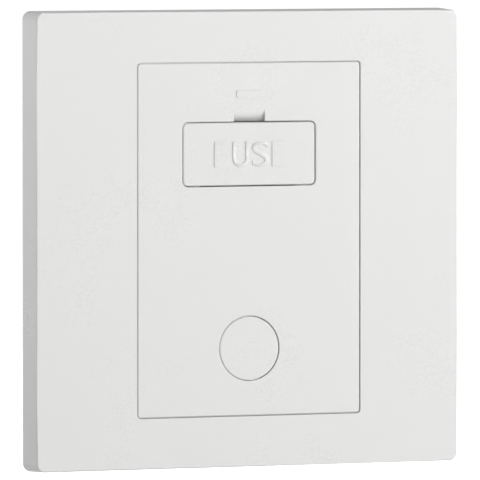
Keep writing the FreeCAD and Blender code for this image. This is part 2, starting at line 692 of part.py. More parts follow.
def build_cells(body):
    """A walled cell round each terminal block, and the holes and recess in the floor under them."""
    back = f"{FLOOR_BACK} + terminal_depth"
    cells = [(width, across, up) for name, width, across, up, holes in terminal_places()]
    added(body, FLOOR_BACK, back, rectangles([cell_box(*cell, "barrier") for cell in cells[:-1]]))
    added(body, FLOOR_BACK, back, rectangles([cell_box(*cells[-1], "barrier")]))
    cut(body, FLOOR_BACK, back, rectangles([cell_box(*cell, "0") for cell in cells]))
    stems = [(f"{side} * {LIVE_ACROSS}", STEM_UP) for side in SIDES]
    cut(body, FLOOR, FLOOR_BACK, squares(stems, "(stem_half + stem_gap)"))
    cut(body, FLOOR, FLOOR_BACK, circles(housing_screw_places(), "housing_screw_radius + stem_gap"))
    reach = f"{LIVE_ACROSS} + terminal_width / 2 + link_gap"

    def recess(drawing):
        centred(drawing, reach, "link_height / 2 + link_gap", up=LOWER_ROW)

    cut(body, f"{FLOOR_BACK} - link_thick", f"{FLOOR_BACK} + link_gap", recess)


def build_cord_passage(body):
    """The way for a cord from the outlet to the back, with a notch where it turns up to the clamp."""
    front = f"{PANEL_BACK} + seat_gap"
    outer = ("passage_half_width + barrier", "passage_half_height + barrier")
    inner = ("passage_half_width", "passage_half_height")

    def walls(drawing):
        centred(drawing, *outer, up="-outlet_down")

    added(body, front, HOUSING_BACK, walls)
    cut(body, front, HOUSING_BACK, lambda drawing: centred(drawing, *inner, up="-outlet_down"))
    low = "-outlet_down + passage_half_height"

    def notch(drawing):
        rectangle(drawing, "-cord_notch_half", "cord_notch_half", low, f"{low} + barrier")

    cut(body, "cord_notch_back", HOUSING_BACK, notch)


def clamp_screw_places():
    return [(f"{side} * (clamp_length / 2 - clamp_screw_in)", "-clamp_down") for side in SIDES]


def build_clamp_bosses(body):
    added(body, FLOOR_BACK, BOSS_BACK, squares(clamp_screw_places(), "clamp_boss"))
    start = f"{BOSS_BACK} - clamp_screw_bite - screw_gap"
    cut(body, start, BOSS_BACK, circles(clamp_screw_places(), "clamp_screw_radius + screw_gap"))


def build_wire_entries(body):
    """Open-backed notches for the wires in the top wall, the cells' walls and the housing's sides."""
    cell = "(terminal_height / 2 + terminal_play)"
    notches = []
    for name, width, across, up, holes in terminal_places():
        upper = up == UPPER_ROW
        inside = f"{up} + {cell}" if upper else f"{up} - {cell}"
        outside = HOUSING_UP if upper else f"{up} - {cell} - barrier"
        for hole in holes:
            middle = f"{across} + {hole}"
            notches.append((f"{middle} - wire_notch_half", f"{middle} + wire_notch_half", inside, outside))
    cut(body, f"{FLOOR_BACK} + wire_back - wire_notch_half", HOUSING_BACK, rectangles(notches))
    low, high = "-clamp_down - side_entry_half", "-clamp_down + side_entry_half"
    sides = [(f"{side} * {INNER_ACROSS}", f"{side} * {HOUSING_ACROSS}", low, high) for side in SIDES]
    cut(body, "side_entry_back", HOUSING_BACK, rectangles(sides))


# The terminals and what joins them
def build_terminal(name, width, across, up, holes):
    body = new_body(name)
    body.setExpression(".Placement.Base.x", bound(across))
    body.setExpression(".Placement.Base.y", bound(FLOOR_BACK))
    body.setExpression(".Placement.Base.z", bound(up))
    half_width, half_height = f"{width} / 2", "terminal_height / 2"
    added(body, "0", "terminal_depth", lambda drawing: centred(drawing, half_width, half_height))
    dressed("Chamfer", body, "terminal_chamfer", lambda edge: runs_along(edge, 1))
    wires = new_sketch(body, "XY_Plane", "0")
    for hole in holes:
        centred(wires, "wire_half", "wire_half", hole, "wire_back")
    make_feature("Pocket", body, wires, "terminal_height", midplane=True)
    threads = [(hole, "0") for hole in holes]
    cut(body, "wire_back", "terminal_depth", circles(threads, "terminal_screw_radius + screw_gap"))
    if name.startswith("live"):
        strip = "(floor_thick + clip_strip)"
        stem = [("0", "-stem_down")]
        added(body, f"-{strip}", "0", squares(stem, "stem_half"))
        added(body, f"-{strip} - stem_head", f"-{strip}", squares(stem, "stem_head_half"))


def build_neutral_link():
    body = new_body("neutral_link")
    half = f"{LIVE_ACROSS} + terminal_width / 2"
    front = f"{FLOOR_BACK} - link_thick"
    added(body, front, FLOOR_BACK, lambda drawing: centred(drawing, half, "link_height / 2", up=LOWER_ROW))
    dressed("Fillet", body, "link_thick", corner_line(half, "link_height / 2", LOWER_ROW))


def build_fuse_clip(name, side):
    """A U-shaped contact that grips one cap, with a tail to the live terminal's stem."""
    body = new_body(name)
    inner_end = "(fuse_length / 2 - cap_length + clip_in)"
    start = inner_end if side > 0 else f"-{inner_end} - clip_width"
    inside = "(cap_radius + clip_gap)"
    outside = "(cap_radius + clip_gap + clip_strip)"
    bend = f"({FUSE_BACK} - clip_reach + clip_flare_length)"
    tip = f"({FUSE_BACK} - clip_reach)"

    def leg(end):
        return [
            (FLOOR, f"carrier_up + {end} * {outside}"),
            (bend, f"carrier_up + {end} * {outside}"),
            (tip, f"carrier_up + {end} * ({outside} + clip_flare)"),
            (f"{tip} - clip_strip / 2", f"carrier_up + {end} * ({outside} + clip_flare - clip_strip)"),
            (f"{bend} - clip_strip / 2", f"carrier_up + {end} * {inside}"),
            (f"{FLOOR} - clip_strip", f"carrier_up + {end} * {inside}"),
        ]

    added_across(body, start, "clip_width", leg(1) + leg(-1)[::-1])
    floor, reach = size(FLOOR), size(outside)
    middle = size("carrier_up")

    def outer_bend(edge):
        box = edge.BoundBox
        return runs_along(edge, 0) and near(box.YMin, floor) and near(abs(box.ZMin - middle), reach)

    dressed("Fillet", body, "clip_bend", outer_bend)
    near_end = f"{side} * ({inner_end} + clip_width / 2)"
    far_end = f"{side} * ({LIVE_ACROSS} + tail_width / 2)"
    tail_front = f"{FLOOR} - clip_strip"

    def tail(drawing):
        rectangle(drawing, near_end, far_end, f"{STEM_UP} - tail_width / 2", f"{STEM_UP} + tail_width / 2")

    added(body, tail_front, FLOOR, tail)
    cut(body, tail_front, FLOOR, squares([(f"{side} * {LIVE_ACROSS}", STEM_UP)], "(stem_half + screw_gap)"))


# The fuse carrier and the fuse in it
def build_fuse_carrier():
    body = new_body("fuse_carrier")
    half_width, half_height = "carrier_width / 2", "carrier_height / 2"

    def face(drawing):
        centred(drawing, half_width, half_height, up="carrier_up")

    added(body, FRONT, CARRIER_BACK, face)
    dressed("Fillet", body, "carrier_corner", corner_line(half_width, half_height, "carrier_up"))
    dressed("Chamfer", body, "carrier_edge", in_plane(FRONT, half_width, half_height, "carrier_up"))

    def wide_neck(drawing):
        reach = f"{half_height} + carrier_gap - ledge_height - neck_gap"
        centred(drawing, half_width, reach, up="carrier_up")

    def tall_neck(drawing):
        reach = f"{half_width} + carrier_gap - ledge_width - neck_gap"
        centred(drawing, reach, half_height, up="carrier_up")

    added(body, CARRIER_BACK, NECK_BACK, wide_neck)
    added(body, CARRIER_BACK, NECK_BACK, tall_neck)

    def pry(drawing):
        top = f"carrier_up + {half_height}"
        rectangle(drawing, "-pry_width / 2", "pry_width / 2", f"{top} - pry_height", top)

    cut(body, CARRIER_BACK, f"{CARRIER_BACK} + pry_depth", pry)
    cheek_back = f"{FUSE_BACK} + cheek_past"
    added(
        body,
        NECK_BACK,
        cheek_back,
        lambda drawing: centred(drawing, CHEEK_LONG, CHEEK_OUT, up="carrier_up"),
    )
    cut_across(body, f"2 * {CHEEK_LONG}", lambda drawing: circle(drawing, FUSE_BACK, "carrier_up", CHEEK_IN))

    def mouth(drawing):
        rectangle(drawing, FUSE_BACK, cheek_back, "carrier_up - mouth_half", "carrier_up + mouth_half")

    cut_across(body, f"2 * {CHEEK_LONG}", mouth)


def tube_along_x(body, start, length, outer, inner):
    drawing = new_sketch(body, "YZ_Plane", start)
    circle(drawing, FUSE_BACK, "carrier_up", outer)
    if inner:
        circle(drawing, FUSE_BACK, "carrier_up", inner)
    make_feature("Pad", body, drawing, length)


def build_fuse():
    barrel = new_body("fuse_barrel")
    half = "(fuse_length / 2 - cap_wall - barrel_gap)"
    tube_along_x(barrel, f"-{half}", f"2 * {half}", BARREL, "barrel_bore")
    element = new_body("fuse_element")
    span = "(fuse_length / 2 - cap_wall)"
    tube_along_x(element, f"-{span}", f"2 * {span}", "element_radius", None)
    for name, side in (("supply_fuse_cap", -1), ("load_fuse_cap", 1)):
        cap = new_body(name)
        closed = "(fuse_length / 2)"
        start = f"{closed} - cap_length" if side > 0 else f"-{closed}"
        tube_along_x(cap, start, "cap_length", "cap_radius", None)
        hollow = new_sketch(cap, "YZ_Plane", start if side > 0 else f"{start} + cap_wall")
        circle(hollow, FUSE_BACK, "carrier_up", "cap_radius - cap_wall")
        pocket = make_feature("Pocket", cap, hollow, "cap_length - cap_wall")
        pocket.Reversed = True


# Screws and the cord clamp
def build_screws(name, radius, tip, shoulder, head_radius, head, places):
    """Slotted screws of one kind, each a solid of its own. Their shanks run from y = tip to y = shoulder."""
    body = new_body(name)
    body.AllowCompound = True
    top = f"{shoulder} + {head}"
    added(body, tip, shoulder, circles(places, radius))
    added(body, shoulder, top, circles(places, head_radius))

    def slots(drawing):
        for across, up in places:
            centred(drawing, head_radius, "slot_width / 2", across, up)

    cut(body, f"{top} - slot_depth", top, slots)


def build_terminal_screws():
    tip = f"{FLOOR_BACK} + wire_back + wire_half + terminal_screw_tip"
    shoulder = f"{FLOOR_BACK} + terminal_depth + terminal_head_gap"
    sizes = ("terminal_screw_radius", tip, shoulder, "terminal_head_radius", "terminal_head")
    places = [(f"{across} + {hole}", up) for name, width, across, up, holes in terminal_places() for hole in holes]
    build_screws("terminal_screws", *sizes, places)


def build_cord_clamp():
    body = new_body("cord_clamp")
    bar_back = f"{BOSS_BACK} + clamp_thick"

    def bar(drawing):
        centred(drawing, "clamp_length / 2", "clamp_height / 2", up="-clamp_down")

    added(body, BOSS_BACK, bar_back, bar)
    corner = corner_line("clamp_length / 2", "clamp_height / 2", "-clamp_down")
    dressed("Fillet", body, "clamp_corner", corner)
    arch = new_sketch(body, "XY_Plane", "-clamp_down")
    top = f"{BOSS_BACK} + clamp_arch_rise"
    polygon(
        arch,
        [
            ("-clamp_arch", BOSS_BACK),
            ("clamp_arch", BOSS_BACK),
            ("clamp_arch - clamp_arch_rise", top),
            ("clamp_arch_rise - clamp_arch", top),
        ],
    )
    make_feature("Pocket", body, arch, "clamp_height", midplane=True)
    cut(body, BOSS_BACK, bar_back, circles(clamp_screw_places(), "clamp_screw_radius + stem_gap"))
    sizes = ("clamp_screw_radius", f"{BOSS_BACK} - clamp_screw_bite", bar_back, "clamp_head_radius", "clamp_head")
    build_screws("clamp_screws", *sizes, clamp_screw_places())


def build_housing_screws():
    tip = f"{POST_BACK} - housing_screw_bite"
    sizes = ("housing_screw_radius", tip, FLOOR_BACK, "housing_head_radius", "housing_head")
    build_screws("housing_screws", *sizes, housing_screw_places())


NODES = [
    "cover_frame",
    "support_frame",
    "front_panel",
    "outlet_plug",
    "rear_housing",
    "live_supply_terminal",
    "live_load_terminal",
    "neutral_supply_terminal",
    "neutral_load_terminal",
    "earth_terminal",
    "neutral_link",
    "supply_fuse_clip",
    "load_fuse_clip",
    "fuse_carrier",
    "fuse_barrel",
    "fuse_element",
    "supply_fuse_cap",
    "load_fuse_cap",
    "terminal_screws",
    "cord_clamp",
    "clamp_screws",
    "housing_screws",
]


def check_and_export():
    failed = [made.Name for made in doc.Objects if {"Invalid", "Error"} & set(made.State)]
    if failed:
        raise RuntimeError(f"these failed to build: {failed}")
    os.makedirs("parts", exist_ok=True)
    for name in NODES:
        shape = doc.getObject(name).Shape
        if shape.isNull() or not shape.isValid() or not shape.Solids:
            raise RuntimeError(f"{name} has no valid shape")
        shape.exportStep(f"parts/{name}.step")
        print(f"{name}: {len(shape.Solids)} solid(s), {shape.Volume:.1f} mm3")


fill_sheet()
build_cover_frame()
build_support_frame()
build_front_panel()
build_outlet_plug()
build_rear_housing()
for terminal in terminal_places():
    build_terminal(*terminal)
build_neutral_link()
build_fuse_clip("supply_fuse_clip", -1)
build_fuse_clip("load_fuse_clip", 1)
build_fuse_carrier()
build_fuse()
build_terminal_screws()
build_cord_clamp()
build_housing_screws()
doc.recompute()
check_and_export()
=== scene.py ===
import json
import math

import bpy
from mathutils import Matrix, Vector


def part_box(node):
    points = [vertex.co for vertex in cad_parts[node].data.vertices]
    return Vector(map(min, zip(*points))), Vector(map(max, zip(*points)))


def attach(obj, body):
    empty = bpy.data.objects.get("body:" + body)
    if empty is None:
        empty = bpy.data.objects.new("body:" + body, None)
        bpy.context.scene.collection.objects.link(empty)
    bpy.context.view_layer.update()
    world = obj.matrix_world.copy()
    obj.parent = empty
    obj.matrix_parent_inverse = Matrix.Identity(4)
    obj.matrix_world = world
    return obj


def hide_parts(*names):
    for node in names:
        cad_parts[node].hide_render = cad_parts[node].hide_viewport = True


# A white fused spur unit: a square cover frame, a centre panel with its fuse carrier, and a plugged cord
# outlet. The wall is the plane y = 0, and the front faces -Y. Blender works in metres. The named sizes of
# the part are in millimetres, and those of the studio in metres.

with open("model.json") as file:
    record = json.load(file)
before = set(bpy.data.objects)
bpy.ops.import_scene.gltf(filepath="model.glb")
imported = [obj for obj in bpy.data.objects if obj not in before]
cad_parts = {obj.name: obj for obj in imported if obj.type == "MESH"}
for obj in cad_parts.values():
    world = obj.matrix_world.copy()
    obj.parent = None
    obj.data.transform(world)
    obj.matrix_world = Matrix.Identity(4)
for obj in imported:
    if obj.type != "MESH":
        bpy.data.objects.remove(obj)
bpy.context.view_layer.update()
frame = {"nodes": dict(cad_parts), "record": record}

MM = 0.001
# The carrier's face lies in the front plane
carrier_low, carrier_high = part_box("fuse_carrier")
FRONT = carrier_low.y


# Selecting and finishing
def deselect_all():
    bpy.ops.object.select_all(action="DESELECT")


def only(piece):
    """Makes a piece the one selected and active object."""
    deselect_all()
    piece.select_set(True)
    bpy.context.view_layer.objects.active = piece


def set_mode(mode):
    bpy.ops.object.mode_set(mode=mode)


def pick_nothing(mesh):
    """Deselects every vertex, edge and face, in object mode."""
    for elements in (mesh.vertices, mesh.edges, mesh.polygons):
        for element in elements:
            element.select = False


# Vertices as near as this become one
MERGE_DISTANCE = 0.002
# The sharpest bend that counts as a flat face, and the sharpest ones that are shaded smooth, in degrees
FLAT_ANGLE = 0.4
SKIN_ANGLE = 50
WORD_ANGLE = 35
# How far the largest faces set the shading, of 100
LARGE_FACE_WEIGHT = 100


def smooth(piece, degrees):
    """Smooth shading up to the angle, in which the larger faces stay flat."""
    only(piece)
    bpy.ops.object.shade_smooth_by_angle(angle=math.radians(degrees))
    weighted = piece.modifiers.new("even_faces", "WEIGHTED_NORMAL")
    weighted.keep_sharp = True
    weighted.weight = LARGE_FACE_WEIGHT
    bpy.ops.object.modifier_apply(modifier=weighted.name)


def finish(piece, name, body, material):
    """Gives a piece its name and material, the body that it rides on and the slot of its finish."""
    piece.name = name
    piece.data.name = name
    piece.data.materials.clear()
    piece.data.materials.append(material)
    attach(piece, body)


# Shader helpers
class Tree:
    """A node tree with short calls for adding nodes and joining them."""

    def __init__(self, tree):
        self.tree = tree
        self.tree.nodes.clear()

    def add(self, kind, **settings):
        node = self.tree.nodes.new(kind)
        for key, value in settings.items():
            setattr(node, key, value)
        return node

    def join(self, source, target):
        self.tree.links.new(source, target)

    def fill(self, socket, value):
        """Joins a socket to another one, or gives it a plain value."""
        if isinstance(value, bpy.types.NodeSocket):
            self.join(value, socket)
        else:
            socket.default_value = value

    def noise(self, place, scale, detail, roughness=0.5):
        node = self.add("ShaderNodeTexNoise")
        self.join(place, node.inputs["Vector"])
        self.fill(node.inputs["Scale"], scale)
        node.inputs["Detail"].default_value = detail
        node.inputs["Roughness"].default_value = roughness
        return node.outputs["Fac"]

    def span(self, value, low, high, new_low, new_high):
        """Stretches low..high to new_low..new_high, and holds what lies outside at the ends."""
        node = self.add("ShaderNodeMapRange", clamp=True)
        for socket, number in zip(node.inputs, (value, low, high, new_low, new_high)):
            self.fill(socket, number)
        return node.outputs["Result"]

    def work(self, operation, *values):
        node = self.add("ShaderNodeMath", operation=operation)
        for socket, value in zip(node.inputs, values):
            self.fill(socket, value)
        return node.outputs[0]

    def stretch(self, place, scale):
        node = self.add("ShaderNodeMapping")
        self.join(place, node.inputs["Vector"])
        node.inputs["Scale"].default_value = scale
        return node.outputs["Vector"]

    def blend(self, mask, first, second):
        node = self.add("ShaderNodeMix", data_type="RGBA")
        self.fill(node.inputs["Factor"], mask)
        self.fill(node.inputs["A"], first)
        self.fill(node.inputs["B"], second)
        return node.outputs["Result"]

    def object_place(self):
        return self.add("ShaderNodeTexCoord").outputs["Object"]


def group_tree(name, inputs, outputs):
    """A new node group with these sockets, as its tree, its input node and its output node."""
    group = bpy.data.node_groups.new(name, "ShaderNodeTree")
    tree = Tree(group)
    for label, kind, value in inputs:
        socket = group.interface.new_socket(label, in_out="INPUT", socket_type=kind)
        if value is not None:
            socket.default_value = value
    for label in outputs:
        group.interface.new_socket(label, in_out="OUTPUT", socket_type="NodeSocketFloat")
    return tree, tree.add("NodeGroupInput"), tree.add("NodeGroupOutput")


# The effects that the materials share
def moulded_skin():
    """A moulded surface: faint flow clouding, tiny specks, slow waves and a fine tool finish."""
    tree, given, out = group_tree(
        "moulded_skin",
        inputs=[
            ("Place", "NodeSocketVector", None),
            ("Grain Size", "NodeSocketFloat", 2600.0),
            ("Gloss", "NodeSocketFloat", 0.3),
            ("Clouding", "NodeSocketFloat", 0.5),
        ],
        outputs=["Tint", "Roughness", "Height"],
    )
    place = given.outputs["Place"]
    clouds = tree.noise(place, scale=45.0, detail=3.0)
    waves = tree.noise(place, scale=140.0, detail=1.0)
    specks = tree.noise(place, scale=1900.0, detail=1.0)
    grain = tree.noise(place, scale=given.outputs["Grain Size"], detail=2.0, roughness=0.6)

    clouded = tree.work("MULTIPLY", clouds, given.outputs["Clouding"])
    specked = tree.span(specks, low=0.68, high=0.8, new_low=0.0, new_high=0.12)
    tree.join(tree.work("ADD", specked, clouded), out.inputs["Tint"])

    uneven = tree.span(clouds, low=0.3, high=0.7, new_low=-0.04, new_high=0.04)
    fine = tree.span(grain, low=0.2, high=0.8, new_low=-0.03, new_high=0.03)
    rough = tree.work("ADD", tree.work("ADD", given.outputs["Gloss"], uneven), fine)
    tree.join(rough, out.inputs["Roughness"])

    wave_share = 3.0
    tree.join(tree.work("MULTIPLY_ADD", waves, wave_share, grain), out.inputs["Height"])
    return tree.tree


def drawn_metal():
    """Metal with fine streaks along one axis, tarnish clouds and small pits."""
    tree, given, out = group_tree(
        "drawn_metal",
        inputs=[
            ("Place", "NodeSocketVector", None),
            ("Gloss", "NodeSocketFloat", 0.3),
            ("Streak Size", "NodeSocketFloat", 900.0),
        ],
        outputs=["Tarnish", "Roughness", "Height"],
    )
    place = given.outputs["Place"]
    drawn_out = tree.stretch(place, (1.0, 1.0, 0.06))
    streaks = tree.noise(drawn_out, scale=given.outputs["Streak Size"], detail=3.0, roughness=0.6)
    clouds = tree.noise(place, scale=320.0, detail=4.0, roughness=0.6)
    dots = tree.noise(place, scale=2400.0, detail=1.0)
    pits = tree.span(dots, low=0.66, high=0.74, new_low=0.0, new_high=1.0)

    tree.join(tree.span(clouds, low=0.42, high=0.68, new_low=0.0, new_high=1.0), out.inputs["Tarnish"])

    uneven = tree.span(streaks, low=0.25, high=0.75, new_low=-0.07, new_high=0.09)
    pit_roughness = 0.1
    rough = tree.work("ADD", given.outputs["Gloss"], uneven)
    tree.join(tree.work("MULTIPLY_ADD", pits, pit_roughness, rough), out.inputs["Roughness"])

    pit_depth = -0.7
    tree.join(tree.work("MULTIPLY_ADD", pits, pit_depth, streaks), out.inputs["Height"])
    return tree.tree


# Each effect's node group, and the mask in it that the colour follows
EFFECTS = {
    "moulded_skin": (moulded_skin(), "Tint"),
    "drawn_metal": (drawn_metal(), "Tarnish"),
}


# The materials
def surface(name, effect, colours, relief, plain, uneven):
    """A Principled material over one effect.

    Its colour runs between the two colours by the effect's mask, and relief is the depth of its bump in
    millimetres. plain holds the shader's own values, and uneven those of the effect.
    """
    material = bpy.data.materials.new(name)
    material.use_nodes = True
    tree = Tree(material.node_tree)
    shader = tree.add("ShaderNodeBsdfPrincipled")
    output = tree.add("ShaderNodeOutputMaterial")
    tree.join(shader.outputs["BSDF"], output.inputs["Surface"])
    for label, value in plain.items():
        shader.inputs[label].default_value = value

    group_nodes, mask = EFFECTS[effect]
    group = tree.add("ShaderNodeGroup", node_tree=group_nodes)
    tree.join(tree.object_place(), group.inputs["Place"])
    for label, value in uneven.items():
        group.inputs[label].default_value = value

    first, second = ((*colour, 1.0) for colour in colours)
    tree.join(tree.blend(group.outputs[mask], first, second), shader.inputs["Base Color"])
    tree.join(group.outputs["Roughness"], shader.inputs["Roughness"])
    bump = tree.add("ShaderNodeBump")
    bump.inputs["Strength"].default_value = 1.0
    bump.inputs["Distance"].default_value = relief * MM
    tree.join(group.outputs["Height"], bump.inputs["Height"])
    tree.join(bump.outputs["Normal"], shader.inputs["Normal"])
    return material


# The shader's own values for the mouldings and the metals, in metres where they are lengths
PLASTIC = {
    "IOR": 1.5,
    "Subsurface Weight": 0.25,
    "Subsurface Radius": (1.0, 1.0, 1.0),
    "Subsurface Scale": 0.0007,
}
METAL = {"Metallic": 1.0}


def front_white():
    """The smooth white moulding of everything that shows in front."""
    return surface(
        "front_white",
        effect="moulded_skin",
        colours=[(0.79, 0.79, 0.785), (0.765, 0.765, 0.755)],
        relief=0.0012,
        plain=PLASTIC,
        uneven={"Gloss": 0.3, "Clouding": 0.5},
    )


def housing_white():
    """The plainer, duller moulding behind the front."""
    return surface(
        "housing_white",
        effect="moulded_skin",
        colours=[(0.74, 0.74, 0.72), (0.7, 0.7, 0.68)],
        relief=0.004,
        plain=PLASTIC,
        uneven={"Gloss": 0.48, "Clouding": 0.8, "Grain Size": 1800.0},
    )


def fired_ceramic():
    """The fuse's barrel."""
    return surface(
        "fired_ceramic",
        effect="moulded_skin",
        colours=[(0.8, 0.78, 0.72), (0.7, 0.67, 0.6)],
        relief=0.006,
        plain={"IOR": 1.55},
        uneven={"Gloss": 0.36, "Clouding": 0.9, "Grain Size": 3200.0},
    )


def machined_brass():
    """The terminals and the link between them."""
    return surface(
        "machined_brass",
        effect="drawn_metal",
        colours=[(0.86, 0.63, 0.29), (0.7, 0.48, 0.22)],
        relief=0.006,
        plain=METAL,
        uneven={"Gloss": 0.27},
    )


def sprung_bronze():
    """The strip of the fuse clips."""
    return surface(
        "sprung_bronze",
        effect="drawn_metal",
        colours=[(0.87, 0.62, 0.38), (0.72, 0.47, 0.27)],
        relief=0.004,
        plain=METAL,
        uneven={"Gloss": 0.24},
    )


def nickel_plate():
    """The fuse's caps and its element."""
    return surface(
        "nickel_plate",
        effect="drawn_metal",
        colours=[(0.77, 0.74, 0.68), (0.66, 0.63, 0.58)],
        relief=0.003,
        plain=METAL,
        uneven={"Gloss": 0.2},
    )


def zinc_plate():
    """The screws."""
    return surface(
        "zinc_plate",
        effect="drawn_metal",
        colours=[(0.7, 0.71, 0.72), (0.56, 0.57, 0.59)],
        relief=0.004,
        plain=METAL,
        uneven={"Gloss": 0.32},
    )


MATERIALS = {
    "front_white": front_white(),
    "housing_white": housing_white(),
    "machined_brass": machined_brass(),
    "sprung_bronze": sprung_bronze(),
    "nickel_plate": nickel_plate(),
    "fired_ceramic": fired_ceramic(),
    "zinc_plate": zinc_plate(),
}


# The skins over the CAD nodes

# The nodes that each material goes on
NODES_IN = {
    "front_white": ["cover_frame", "front_panel", "fuse_carrier", "outlet_plug"],
    "housing_white": ["support_frame", "rear_housing", "cord_clamp"],
    "machined_brass": [
        "live_supply_terminal",
        "live_load_terminal",
        "neutral_supply_terminal",
        "neutral_load_terminal",
        "earth_terminal",
        "neutral_link",
    ],
    "sprung_bronze": ["supply_fuse_clip", "load_fuse_clip"],
    "nickel_plate": ["supply_fuse_cap", "load_fuse_cap", "fuse_element"],
    "fired_ceramic": ["fuse_barrel"],
    "zinc_plate": ["terminal_screws", "clamp_screws", "housing_screws"],
}

# How round a node's sharp edges are. Nodes that aren't named keep their CAD edges.
SOFT_EDGES = {
    "terminal_screws": 0.16,
    "clamp_screws": 0.16,
    "housing_screws": 0.14,
    "supply_fuse_cap": 0.12,
    "load_fuse_cap": 0.12,
    "live_supply_terminal": 0.1,
    "live_load_terminal": 0.1,
    "neutral_supply_terminal": 0.1,
    "neutral_load_terminal": 0.1,
    "earth_terminal": 0.1,
    "neutral_link": 0.06,
    "cord_clamp": 0.15,
    "rear_housing": 0.12,
}
SOFT_EDGE_STEPS = 2
SOFT_EDGE_ANGLE = 50


def soft_edges(piece, node):
    """Rounds all the sharp edges of a piece."""
    bevel = piece.modifiers.new("soft_edges", "BEVEL")
    bevel.width = SOFT_EDGES[node] * MM
    bevel.segments = SOFT_EDGE_STEPS
    bevel.limit_method = "ANGLE"
    bevel.angle_limit = math.radians(SOFT_EDGE_ANGLE)
    bpy.ops.object.modifier_apply(modifier=bevel.name)


# How round the rims of the openings in the front face are, how sharp a rim is in degrees, and how near the
# front plane its ends lie
FRONT_RIMS = {"cover_frame": 0.08, "front_panel": 0.1}
RIM_STEPS = 3
RIM_ANGLE = 75
RIM_REACH = 0.01
# The notch and the mark keep their edges: they lie this far to each side, and this far above the carrier
NOTCH_SIDE = 4.0
NOTCH_ABOVE = 0.4


def soft_rims(piece, node):
    """Rounds the sharp rims in a piece's front face, apart from those of the notch and the mark."""
    mesh = piece.data
    set_mode("EDIT")
    bpy.ops.mesh.select_mode(type="EDGE")
    bpy.ops.mesh.select_all(action="DESELECT")
    bpy.ops.mesh.edges_select_sharp(sharpness=math.radians(RIM_ANGLE))
    set_mode("OBJECT")
    rims = []
    for edge in mesh.edges:
        ends = [mesh.vertices[index].co for index in edge.vertices]
        middle = (ends[0] + ends[1]) / 2
        in_front = all(abs(end.y - FRONT) < RIM_REACH * MM for end in ends)
        in_notch = abs(middle.x) < NOTCH_SIDE * MM and middle.z > carrier_high.z + NOTCH_ABOVE * MM
        if edge.select and in_front and not in_notch:
            rims.append(edge)
    pick_nothing(mesh)
    for edge in rims:
        edge.select = True
    set_mode("EDIT")
    bpy.ops.mesh.bevel(offset=FRONT_RIMS[node] * MM, segments=RIM_STEPS, affect="EDGES")
    set_mode("OBJECT")


# The shallow step round a piece's sides that half closes the gap beside it: how far behind the front it
# starts and ends, how far it stands out, and how far in from the outline its side faces may lie
SIDE_STEPS = {
    "front_panel": {"start": 0.3, "end": 0.7, "out": 0.2, "reach": 0.35},
    "fuse_carrier": {"start": 0.45, "end": 0.7, "out": 0.1, "reach": 0.35},
    "outlet_plug": {"start": 0.35, "end": 0.7, "out": 0.12, "reach": 6.0},
}
# How far behind the front the middles of the side faces lie at most, and the most that a side face leans
SIDE_DEPTH = 3.0
SIDE_LEAN = 0.1
# A place's coordinates in the plane of the front
ACROSS = 0
UP = 2


def pick_sides(mesh, outline, reach, first, last):
    """Selects the side faces near the outline whose middles lie between two depths behind the front."""
    pick_nothing(mesh)
    for face in mesh.polygons:
        depth = face.center.y - FRONT
        inwards = min(abs(face.center[axis] - side) for axis, sides in outline.items() for side in sides)
        face.select = first < depth < last and abs(face.normal.y) < SIDE_LEAN and inwards < reach


def side_step(piece, node):
    """Cuts the piece's side faces where the step starts and ends, and moves the band between outwards."""
    start, end, out, reach = (SIDE_STEPS[node][name] * MM for name in ("start", "end", "out", "reach"))
    mesh = piece.data
    face_points = [vertex.co for vertex in mesh.vertices if vertex.co.y < FRONT + start]
    outline = {}
    for axis in (ACROSS, UP):
        places = [point[axis] for point in face_points]
        outline[axis] = (min(places), max(places))

    set_mode("EDIT")
    bpy.ops.mesh.select_mode(type="FACE")
    set_mode("OBJECT")
    for depth in (start, end):
        pick_sides(mesh, outline, reach, 0, SIDE_DEPTH * MM)
        set_mode("EDIT")
        bpy.ops.mesh.bisect(plane_co=(0, FRONT + depth, 0), plane_no=(0, 1, 0))
        set_mode("OBJECT")
    pick_sides(mesh, outline, reach, start, end)
    set_mode("EDIT")
    bpy.ops.mesh.extrude_region_shrink_fatten(TRANSFORM_OT_shrink_fatten={"value": out})
    set_mode("OBJECT")


# The ramped notch above the carrier: its width, its depth at the carrier's opening, that depth in the CAD
# node, and the gap between the carrier and its opening
NOTCH_WIDTH = 6.3
NOTCH_DEPTH = 0.8
CAD_NOTCH_DEPTH = 1.4
CARRIER_GAP = 0.25
# How far off those places a vertex may be
PLACE_PLAY = 0.05
DEPTH_PLAY = 0.2


def gentle_notch(piece):
    """Makes the panel's ramped notch shallower, by moving its deep end towards the front."""
    deep_end = carrier_high.z + CARRIER_GAP * MM
    for vertex in piece.data.vertices:
        place = vertex.co
        at_end = abs(place.z - deep_end) < PLACE_PLAY * MM
        is_deep = abs(place.y - FRONT - CAD_NOTCH_DEPTH * MM) < DEPTH_PLAY * MM
        is_within = abs(place.x) < (NOTCH_WIDTH / 2 + PLACE_PLAY) * MM
        if at_end and is_deep and is_within:
            place.y = FRONT + NOTCH_DEPTH * MM


def merge_vertices():
    """Selects all of the piece in edit mode, and merges the vertices that lie in one place."""
    bpy.ops.mesh.select_all(action="SELECT")
    bpy.ops.mesh.remove_doubles(threshold=MERGE_DISTANCE * MM)


